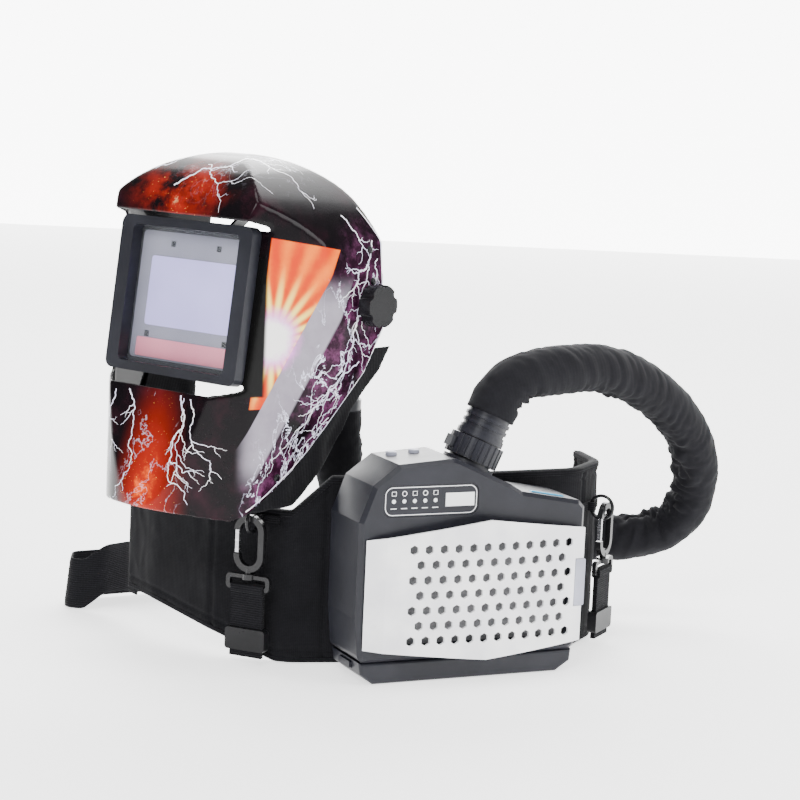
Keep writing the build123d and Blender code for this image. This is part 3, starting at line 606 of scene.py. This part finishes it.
# ---- breathing hose: a gathered fabric sleeve over the corrugated hose ----
OUTLET, OUTLET_DIR = Vector((-0.006, 0.002, 0.1876)), Vector((0.408, 0, 0.913))
HOSE_END = from_helmet(0.020, 0.074, -0.112)
HOSE_ROUTE = [
    OUTLET + OUTLET_DIR * 0.0492, OUTLET + OUTLET_DIR * 0.0822, (0.076, 0.012, 0.270), (0.142, 0.036, 0.270),
    (0.208, 0.058, 0.249), (0.268, 0.084, 0.208), (0.300, 0.104, 0.158), (0.306, 0.126, 0.108),
    (0.276, 0.150, 0.078), (0.200, 0.176, 0.076), (0.112, 0.198, 0.068), (0.034, 0.206, 0.072),
    (-0.034, 0.192, 0.104), (HOSE_END.x, HOSE_END.y, 0.160), HOSE_END,
]
HOSE_R = 0.023


def hose():
    path = spline_points([Vector(p) for p in HOSE_ROUTE])
    line, length = even(path, 0.0022)
    count = 88
    rows = []
    side = Vector((0, 1, 0))
    ring_at = 0.0
    for i, at in enumerate(line):
        ahead = (line[min(i + 1, len(line) - 1)] - line[max(i - 1, 0)]).normalized()
        side = (side - ahead * side.dot(ahead)).normalized()
        up = ahead.cross(side)
        back = (line[max(i - 12, 0)] + line[min(i + 12, len(line) - 1)]) / 2 - at
        curl = min(1.0, back.length / 0.0035)
        inward = back.normalized() if back.length > 1e-5 else side
        ring_at = i / (len(line) - 1) * length
        ends = min(1.0, min(ring_at, length - ring_at) / 0.018)
        row = []
        for k in range(count):
            angle = 2 * pi * k / count
            out = side * cos(angle) + up * sin(angle)
            facing = max(0.0, out.dot(inward))
            along = ring_at * 1000
            spot = Vector((out.x * 1.3, out.y * 1.3, out.z * 1.3 + along / 9.0))
            fold = abs(noise.noise(Vector((spot.x, spot.y, along / 13.0 + out.z * 0.8))))
            pucker = abs(noise.noise(Vector((out.x * 2.2, out.y * 2.2, along / 5.2 + out.z * 2.2))))
            soft = noise.noise(Vector((out.x, out.z, along / 34.0)))
            depth = (0.0014 + 0.0070 * facing * curl) * (1 - fold * 2.4) * 0.55
            depth += (0.0009 + 0.0030 * facing * curl) * (0.5 - pucker)
            radius = HOSE_R + 0.0004 - max(-0.0012, depth) + soft * 0.0012
            radius = HOSE_R * (1 - ends) * 0.98 + radius * ends
            row.append(at + out * radius)
        rows.append(row)
    piece = link("hose_sleeve", grid_mesh("hose_sleeve", rows), MATERIALS["sleeve_fabric"], ROOT)
    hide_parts("breathing_hose")


hose()

# ---- padded belt ----
PAD_PATH = [
    (0.181, 0.140), (0.172, 0.082), (0.128, 0.046), (0.040, 0.044), (-0.090, 0.044),
    (-0.152, 0.060), (-0.200, 0.116), (-0.230, 0.190), (-0.240, 0.245),
]
PAD_HALF = 0.0048
PAD_TOP_LINE = [(-0.300, 0.140), (-0.150, 0.140), (-0.116, 0.172), (0.300, 0.172)]  # X, Z
PAD_FOOT_LINE = [(-0.300, 0.034), (-0.232, 0.034), (-0.200, 0.020), (-0.158, 0.0005), (0.300, 0.0005)]


def height_at(outline, x):
    """Z of a broken line at x."""
    for (x0, z0), (x1, z1) in zip(outline, outline[1:]):
        if x <= x1:
            return z0 + (z1 - z0) * max(0.0, x - x0) / (x1 - x0)
    return outline[-1][1]


def rounded_route(points, radius, step=0.004):
    """Ground-plan line with its corners rounded by arcs, and a point every step."""
    corners = [Vector((*p, 0)) for p in points]
    line = [corners[0]]
    for a, b, c in zip(corners, corners[1:], corners[2:]):
        before, after = (a - b).normalized(), (c - b).normalized()
        half = before.angle(after) / 2
        cut = min(radius / max(0.05, abs(sin(half) / cos(half))), (a - b).length / 2, (c - b).length / 2)
        start, end = b + before * cut, b + after * cut
        for t in (k / 8 for k in range(9)):
            line.append(start.lerp(b, t).lerp(b.lerp(end, t), t))
    line.append(corners[-1])
    return even(line, step)


PAD_SEAMS = (0.014, 0.062, 0.100, 0.330, 0.362, 0.418, 0.470)


def belt_pad():
    line, length = rounded_route(PAD_PATH, 0.034, 0.0022)
    tall = 64
    rows = []
    for i, at in enumerate(line):
        ahead = (line[min(i + 1, len(line) - 1)] - line[max(i - 1, 0)]).normalized()
        out = ahead.cross(Vector((0, 0, 1)))
        s = i / (len(line) - 1) * length
        end_fade = min(1.0, min(s, length - s) / 0.008) ** 0.5
        foot, top = height_at(PAD_FOOT_LINE, at.x) + 0.0005, height_at(PAD_TOP_LINE, at.x) - 0.0005
        row = []
        for k in range(tall * 2):
            face = 1 if k < tall else -1
            t = (k if k < tall else 2 * tall - 1 - k) / (tall - 1)
            z = foot + t * (top - foot)
            edge = min(1.0, min(z - foot, top - z) / 0.007)
            roll = max(0.12, 1 - (1 - edge) ** 2) ** 0.5
            depth = PAD_HALF * roll * end_fade
            for seam in PAD_SEAMS:
                depth -= 0.0017 * exp(-(((s - seam) / 0.0024) ** 2))
            for level in (foot + 0.011, top - 0.011):
                depth -= 0.0013 * exp(-(((z - level) / 0.0018) ** 2))
            wave = noise.noise(Vector((s * 26, z * 34, face * 3.0)))
            crease = abs(noise.noise(Vector((s * 75, z * 30, face * 7.0 + 4))))
            depth += 0.0011 * wave - 0.0012 * crease
            row.append(at + out * (face * max(0.0012, depth)) + Vector((0, 0, z)))
        rows.append(row)
    piece = link("waist_pad", grid_mesh("waist_pad", rows), MATERIALS["pad_fabric"], ROOT)
    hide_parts("belt_pad")
    return line


pad_line = belt_pad()


def band(name, line, low, high, thick, offset=0.0, rise=None, lean=None, material="webbing_black", ribs=8):
    """Webbing standing on edge along a line, ribbed, with rolled edges; rise lifts each point of the line."""
    rows = []
    across = ribs * 3
    for i, at in enumerate(line):
        ahead = (line[min(i + 1, len(line) - 1)] - line[max(i - 1, 0)]).normalized()
        out = ahead.cross(Vector((0, 0, 1)))
        tip = lean(i / (len(line) - 1)) if lean else 0.0
        row = []
        for k in range(across * 2):
            face = 1 if k < across else -1
            t = (k if k < across else 2 * across - 1 - k) / (across - 1)
            z = low + t * (high - low) + (rise(at) if rise else 0.0)
            rib = 0.00018 * cos(2 * pi * t * ribs)
            edge = min(1.0, min(t, 1 - t) * across / 2 + 0.35)
            depth = face * (thick / 2 * edge + rib)
            row.append(at + out * (offset + depth + (t - 0.5) * tip) + Vector((0, 0, z)))
        rows.append(row)
    piece = link(name, grid_mesh(name, rows), MATERIALS[material], ROOT)
    return piece


WEB_RISE = 0.026


def webbing():
    right, _ = rounded_route([
        (0.1795, 0.130), (0.182, 0.1465), (0.190, 0.225), (0.150, 0.305), (0.060, 0.345), (0.008, 0.345),
    ], 0.03)
    left, _ = rounded_route(
        [
            (-0.2372, 0.230), (-0.240, 0.251), (-0.252, 0.286), (-0.285, 0.300), (-0.272, 0.336),
            (-0.180, 0.345), (-0.066, 0.345),
        ], 0.014
    )
    first = band("webbing_right", right, 0.002, 0.050, 0.0022)
    second = band(
        "webbing_left", left, 0.002, 0.050, 0.0022,
        rise=lambda at: WEB_RISE * min(1, max(0, at.x + 0.270) / 0.030) if at.y < 0.318 else 0.0,
        lean=lambda t: 0.006 * sin(pi * t),
    )
    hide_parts("belt_webbing")
    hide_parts("belt_webbing")
    # binding along the pad's edges, and a strip of webbing sewn along its outer face
    stretch = pad_line[3:-3]
    band("pad_binding_top", stretch, -0.0062, 0.0004, 0.0098, rise=lambda at: height_at(PAD_TOP_LINE, at.x), ribs=3)
    band("pad_binding_foot", stretch, 0.0, 0.0062, 0.0098, rise=lambda at: height_at(PAD_FOOT_LINE, at.x), ribs=3)
    band("pad_strip", pad_line[8:-8], 0.056, 0.104, 0.0016, offset=0.0050)


webbing()


# ---- face seal: loose fabric under the rear edge of the shell ----
def face_seal():
    piece = rounded_copy("face_cloth", "face_seal", 0.0016, 6, MATERIALS["pad_fabric"], HELMET)
    for vertex in piece.data.vertices:
        local = Matrix.Rotation(-YAW, 3, "Z") @ (vertex.co - PIVOT)
        hang = min(1.0, max(0.0, (local.y * 0.9 - local.z - 0.06) / 0.05))
        ripple = noise.noise(Vector((local.y * 55, local.z * 30, 2.0)))
        inwards = (0.0035 * hang * ripple + 0.002 * hang) * (1 if local.x > 0 else -1)
        vertex.co -= (from_helmet(1, 0, 0) - PIVOT) * inwards
    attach(piece, HELMET)
    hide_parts("face_seal")


face_seal()

# ---- small printed and fitted details ----
def flat_plate(mesh, origin, across, up, out, width, height, thick):
    """A low block on a surface: across and up lie in the surface, out leaves it."""
    corners = [(-1, -1), (1, -1), (1, 1), (-1, 1)]
    low = [mesh.verts.new(origin + across * (sx * width / 2) + up * (sy * height / 2)) for sx, sy in corners]
    inset = 1 - 0.3 * thick / min(width, height)
    high = [
        mesh.verts.new(origin + across * (sx * width / 2 * inset) + up * (sy * height / 2 * inset) + out * thick)
        for sx, sy in corners
    ]
    mesh.faces.new(high)
    mesh.faces.new(low[::-1])
    for k in range(4):
        mesh.faces.new((low[k], low[(k + 1) % 4], high[(k + 1) % 4], high[k]))


def ring_plate(mesh, origin, across, up, points, width, out, thick):
    """A low outline on a surface, along closed flat points."""
    count = len(points)
    rows = []
    for k, (u, v) in enumerate(points):
        ahead = Vector(points[(k + 1) % count]) - Vector(points[k - 1])
        side = Vector((ahead.y, -ahead.x)).normalized() * width / 2
        rows.append([
            mesh.verts.new(origin + across * (u + side.x * t) + up * (v + side.y * t) + out * lift)
            for t, lift in ((-1, 0), (-1, thick), (1, thick), (1, 0))
        ])
    for k in range(count):
        here, there = rows[k], rows[(k + 1) % count]
        for j in range(4):
            mesh.faces.new((here[j], here[(j + 1) % 4], there[(j + 1) % 4], there[j]))


def rounded_outline(width, height, radius):
    points = []
    for cx, cy, start in ((1, 1, 0), (-1, 1, 90), (-1, -1, 180), (1, -1, 270)):
        for k in range(9):
            turn = radians(start + k * 90 / 8)
            points.append((
                cx * (width / 2 - radius) + radius * cos(turn), cy * (height / 2 - radius) + radius * sin(turn)
            ))
    return points


def circle(radius, u=0.0, v=0.0, count=20):
    return [(u + radius * cos(2 * pi * k / count), v + radius * sin(2 * pi * k / count)) for k in range(count)]


def finish_plates(mesh, name, material, body):
    bmesh.ops.recalc_face_normals(mesh, faces=mesh.faces)
    data = bpy.data.meshes.new(name)
    mesh.to_mesh(data)
    mesh.free()
    piece = link(name, data, MATERIALS[material], body, smooth=False)


def panel_marks():
    """White outline round the controls, and a plain mark over and under each lamp."""
    mesh = bmesh.new()
    across, up, out = Vector((1, 0, 0)), Vector((0, 0, 1)), Vector((0, -1, 0))
    middle = Vector((-0.057, -0.0336, 0.164))
    ring_plate(mesh, middle, across, up, rounded_outline(0.088, 0.0244, 0.0068), 0.0007, out, 0.00025)
    for k in range(5):
        u = -0.036 + 0.010 * k
        if k % 2:
            ring_plate(mesh, middle, across, up, circle(0.0021, u, 0.0068), 0.0006, out, 0.00025)
        else:
            ring_plate(mesh, middle, across, up, [
                (u - 0.002, 0.0050), (u + 0.002, 0.0050), (u + 0.002, 0.0086), (u - 0.002, 0.0086)
            ], 0.0006, out, 0.00025)
        flat_plate(mesh, middle + across * u - up * 0.0064, across, up, out, 0.0058, 0.0008, 0.00025)
    finish_plates(mesh, "panel_marks", "cover_white", ROOT)


def filter_marks():
    """Four small light sensors on the face of the darkening filter."""
    mesh = bmesh.new()
    tilt = radians(7.7)
    across = from_helmet(1, 0, 0) - PIVOT
    out = from_helmet(0, -cos(tilt), sin(tilt)) - PIVOT
    up = out.cross(across)
    middle = from_helmet(0, -0.112, -0.001) - out * 0.0038
    for u, v in ((-0.028, 0.047), (0.028, 0.047), (-0.048, -0.035), (0.048, -0.035)):
        flat_plate(mesh, middle + across * u + up * v, across, up, out, 0.0052, 0.0052, 0.0006)
    finish_plates(mesh, "filter_sensors", "knob_plastic", HELMET)


def rivets():
    """Small domed rivets along the rear of each side of the shell."""
    mesh = bmesh.new()
    for view in ("side", "far"):
        for u, v in ((0.006, 0.048), (0.009, 0.020), (-0.086, -0.150)):
            found = project(view, u, v)
            if found is None:
                continue
            spot, normal = found
            turn = normal.to_track_quat("Z", "Y").to_matrix().to_4x4()
            where = Matrix.Translation(spot) @ turn @ Matrix.Scale(0.5, 4, (0, 0, 1))
            bmesh.ops.create_uvsphere(mesh, u_segments=20, v_segments=12, radius=0.0036, matrix=where)
    data = bpy.data.meshes.new("shell_rivets")
    mesh.to_mesh(data)
    mesh.free()
    piece = link("shell_rivets", data, MATERIALS["knob_plastic"], HELMET)


def shoulder_strip():
    """Pale blue status strip let into the top of the casing's right shoulder."""
    mesh = bmesh.new()
    slope = Vector((0.962, 0, -0.17)).normalized()
    normal = Vector((0.17, 0, 0.962)).normalized()
    flat_plate(mesh, Vector((0.063, -0.022, 0.1632)), slope, Vector((0, 1, 0)), normal, 0.034, 0.005, 0.0009)
    finish_plates(mesh, "status_strip", "status_blue", ROOT)


MATERIALS["status_blue"] = glassy("status_blue", (0.03, 0.36, 0.62), 1.0, 0.15)
panel_marks()
filter_marks()
rivets()
shoulder_strip()

# ---- floor, lights ----
def glow_sheet(name, corners, colour, strength):
    made, tree, surface = new_material(name, 0.8)
    surface.inputs["Base Color"].default_value = (*colour, 1)
    surface.inputs["Emission Color"].default_value = (1, 1, 1, 1)
    surface.inputs["Emission Strength"].default_value = strength
    mesh = bpy.data.meshes.new(name)
    mesh.from_pydata(corners, [], [(0, 1, 2, 3)])
    mesh.materials.append(made)
    sheet = bpy.data.objects.new(name, mesh)
    scene.collection.objects.link(sheet)


def stage():
    """White sweep that glows behind the object, with soft lamps in front, so black parts stay black."""
    reach = 9.0
    glow_sheet("floor", [
        (-reach, -reach, -0.0004), (reach, -reach, -0.0004), (reach, reach, -0.0004), (-reach, reach, -0.0004)
    ], (0.8, 0.8, 0.8), 1.5)
    ahead = Vector((-sin(AZIMUTH), cos(AZIMUTH), 0))
    side = Vector((cos(AZIMUTH), sin(AZIMUTH), 0))
    foot = ahead * 5
    glow_sheet("backdrop", [
        foot - side * 7, foot + side * 7, foot + side * 7 + Vector((0, 0, 7)), foot - side * 7 + Vector((0, 0, 7))
    ], (0.8, 0.8, 0.8), 7.0)
    world = bpy.data.worlds.new("studio")
    world.use_nodes = True
    sky = world.node_tree.nodes["Background"]
    sky.inputs[0].default_value = (1, 1, 1, 1)
    sky.inputs[1].default_value = 0.32
    scene.world = world
    lamps = (
        ("key", (-1.5, -1.7, 1.9), 1.0, 62), ("fill", (1.7, -1.5, 1.1), 1.2, 40), ("rim", (0.6, 1.9, 1.8), 1.2, 36),
        ("top", (0.0, -0.2, 2.3), 1.4, 40),
    )
    for name, spot, size, watts in lamps:
        data = bpy.data.lights.new(name, "AREA")
        data.size, data.energy = size, watts
        lamp = bpy.data.objects.new(name, data)
        lamp.location = spot
        lamp.rotation_euler = (Vector((-0.03, 0.08, 0.2)) - Vector(spot)).to_track_quat("-Z", "Y").to_euler()
        scene.collection.objects.link(lamp)


stage()
